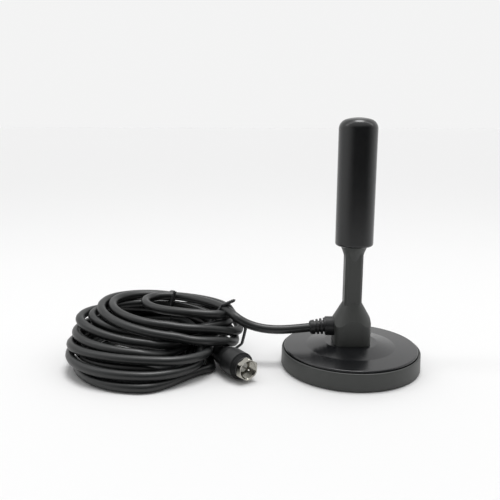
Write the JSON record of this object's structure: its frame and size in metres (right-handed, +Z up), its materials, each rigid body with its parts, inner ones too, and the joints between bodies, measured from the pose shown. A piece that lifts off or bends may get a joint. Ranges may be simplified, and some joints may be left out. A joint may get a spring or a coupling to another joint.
{
  "type": "indoor tv antenna",
  "caption": "Black tabletop TV antenna: round magnetic base, slim mast with a closed cylindrical head, and a coaxial lead lying beside it as a tied coil with an F plug.",
  "frame": {"origin": "middle of the base's underside, on the surface that it stands on", "axes": "+Z up along the mast, +X away from the coiled lead, +Y to the back as the picture sees it"},
  "size_m": [0.2053, 0.0952, 0.1405],
  "materials": {
    "cover_plastic": "polished black",
    "case_plastic": "satin black moulding",
    "head_plastic": "smooth black moulding",
    "boot_plastic": "soft black moulding",
    "cable_jacket": "satin black jacket",
    "tie_plastic": "black twist tie",
    "pad_rubber": "fine grain",
    "ferrite": "ground grey",
    "zinc_steel": "zinc plated",
    "nickel_plate": "bright nickel",
    "copper": "bare copper",
    "tinned_copper": "tinned wire",
    "board_laminate": "green laminate",
    "white_insulator": "natural white"
  },
  "bodies": {
    "antenna": {"base_cover": "cover_plastic", "base_skirt": "case_plastic", "mast": "case_plastic", "radome": "head_plastic", "cable_boot": "boot_plastic", "plug_sleeve": "boot_plastic", "cable_run": "cable_jacket", "cable_coil": "cable_jacket", "cable_tail": "cable_jacket", "tie_right": "tie_plastic", "tie_back": "tie_plastic", "foot_pad": "pad_rubber", "magnet_ring": "ferrite", "steel_disc": "zinc_steel", "mast_screws": "zinc_steel", "plug_post": "nickel_plate", "radiator_foil": "copper", "plug_pin": "tinned_copper", "antenna_board": "board_laminate", "feed_coax": "white_insulator", "plug_insulator": "white_insulator"},
    "coupling_nut": {"plug_nut": "nickel_plate"}
  },
  "joints": [
    {"name": "nut_spin", "type": "hinge", "parent": "antenna", "child": "coupling_nut", "pos_m": [-0.0589, -0.028, 0.0075], "axis": [0.5592, -0.829, 0], "continuous": true}
  ]
}
